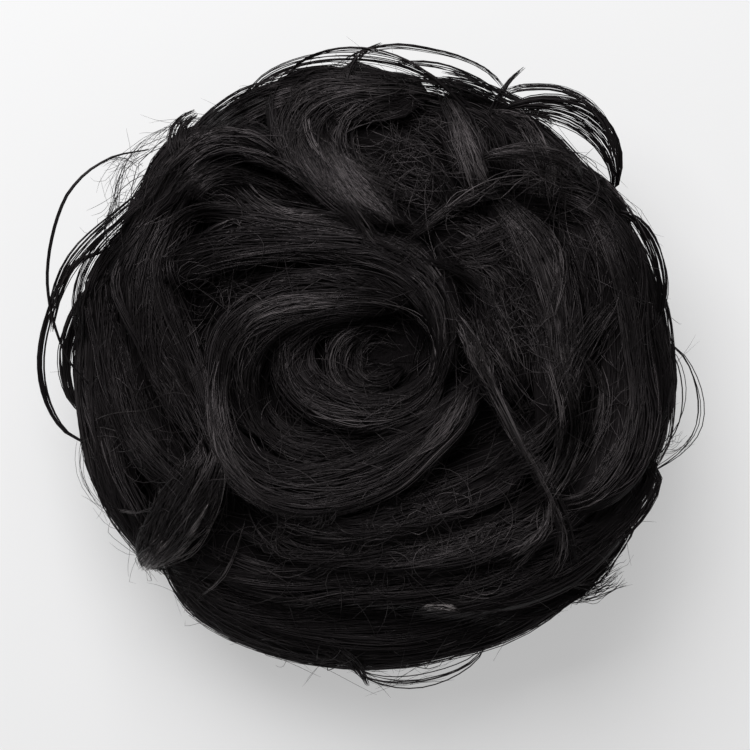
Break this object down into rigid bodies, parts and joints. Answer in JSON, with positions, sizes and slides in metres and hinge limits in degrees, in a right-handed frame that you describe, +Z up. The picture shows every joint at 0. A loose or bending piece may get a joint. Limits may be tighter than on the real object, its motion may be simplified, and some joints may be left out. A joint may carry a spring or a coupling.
{
  "type": "bun hairpiece",
  "caption": "Round bun hairpiece of black hair wound in a loose rosette over a hollow base, with an elastic band in its mouth and stray loops round it.",
  "frame": {"origin": "on the surface that the bun lies on, under the middle of its hollow base", "axes": "+Z up through the crown, +Y towards the top of the rosette as the picture shows it, +X to its right"},
  "size_m": [0.1578, 0.1487, 0.0623],
  "materials": {
    "hair": "near-black synthetic hair with a soft sheen along its strands",
    "elastic": "matt black woven elastic"
  },
  "bodies": {
    "root": {"back_right_rim_tress": "hair", "back_rim_tress": "hair", "crescent_petal_tress": "hair", "crossing_wisp": "hair", "elastic_band": "elastic", "flare_tress": "hair", "front_rim_tress": "hair", "front_stray_loop": "hair", "hanging_tress": "hair", "hanging_wisp": "hair", "high_band_tress": "hair", "hook_tress": "hair", "inner_petal_tress": "hair", "left_arc_tress": "hair", "left_inner_tress": "hair", "left_loop_inner": "hair", "left_loop_middle": "hair", "left_loop_outer": "hair", "left_mid_tress": "hair", "left_rim_tress": "hair", "left_sweep_tress": "hair", "long_wisp": "hair", "low_back_tress": "hair", "low_band_tress": "hair", "low_front_tress": "hair", "low_inner_tress": "hair", "low_left_tress": "hair", "low_right_tress": "hair", "lower_petal_tress": "hair", "right_fill_tress": "hair", "right_inner_tress": "hair", "right_loop": "hair", "right_outer_tress": "hair", "right_rim_tress": "hair", "right_stray_loop": "hair", "right_tail_tress": "hair", "right_upright_tress": "hair", "rosette_fill_tress": "hair", "rosette_heart_tress": "hair", "rosette_shade_tress": "hair", "tangle_bed_tress": "hair", "top_back_tress": "hair", "top_loop_high": "hair", "top_loop_low": "hair", "top_right_loop_inner": "hair", "top_right_loop_outer": "hair", "upper_petal_tress": "hair", "wound_base": "hair"}
  },
  "joints": []
}
